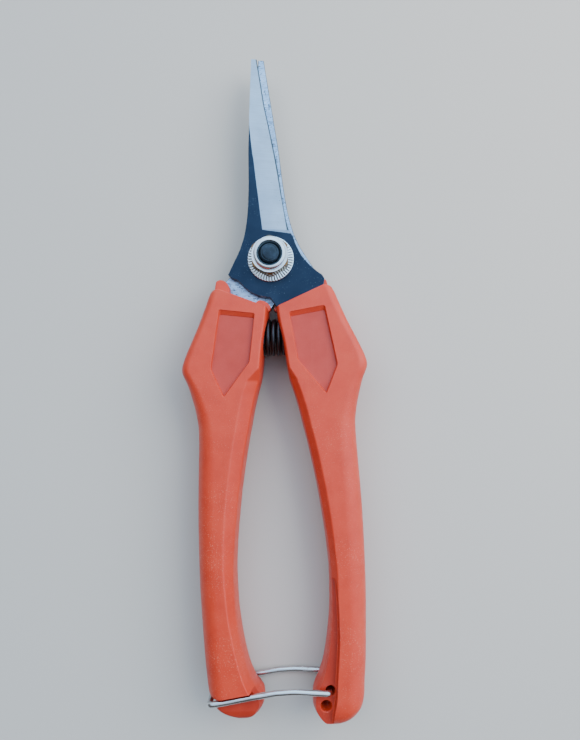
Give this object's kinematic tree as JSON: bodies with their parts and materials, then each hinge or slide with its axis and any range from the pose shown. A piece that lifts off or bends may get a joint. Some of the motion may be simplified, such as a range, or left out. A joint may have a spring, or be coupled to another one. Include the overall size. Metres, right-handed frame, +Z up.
{
  "type": "floral snips",
  "caption": "Hand snips for cutting stems: pointed straight blades on a bolted pivot, moulded handles, a coil spring between the handle heads and a wire latch at the ends.",
  "frame": {"origin": "on the surface the snips lie on, under the middle of their outline", "axes": "+Y towards the blade tips, +X towards the handle that carries the latch, +Z up through the pivot bolt's nut"},
  "size_m": [0.0514, 0.188, 0.0166],
  "materials": {
    "handle_plastic": "orange-red moulded plastic, fine satin texture",
    "blade_steel": "blue-black coating with a bright ground bevel",
    "black_steel": "black oxide",
    "zinc_plate": "bright zinc plating",
    "nylon": "black nylon",
    "spring_steel": "dark drawn spring wire",
    "latch_steel": "bright nickel-plated wire"
  },
  "bodies": {
    "left_half": {"left_handle": "handle_plastic", "lower_blade": "blade_steel", "pivot_bolt": "black_steel", "lock_nut": "zinc_plate", "ribbed_washer": "zinc_plate", "nylon_insert": "nylon", "return_spring": "spring_steel"},
    "right_half": {"right_handle": "handle_plastic", "upper_blade": "blade_steel"},
    "latch": {"latch_wire": "latch_steel"}
  },
  "joints": [
    {"name": "handle_pivot", "type": "hinge", "parent": "left_half", "child": "right_half", "pos_m": [0, 0.03245, 0.0074], "axis": [0, 0, 1], "range_deg": [0, 26], "deforming": ["return_spring"]},
    {"name": "latch_swing", "type": "hinge", "parent": "right_half", "child": "latch", "pos_m": [0.0114, -0.08505, 0.0074], "axis": [0, 0, 1], "range_deg": [0, 91]}
  ],
  "couplings": [
    {"joint": "latch_swing", "follows": "handle_pivot", "ratio": 3.5}
  ]
}
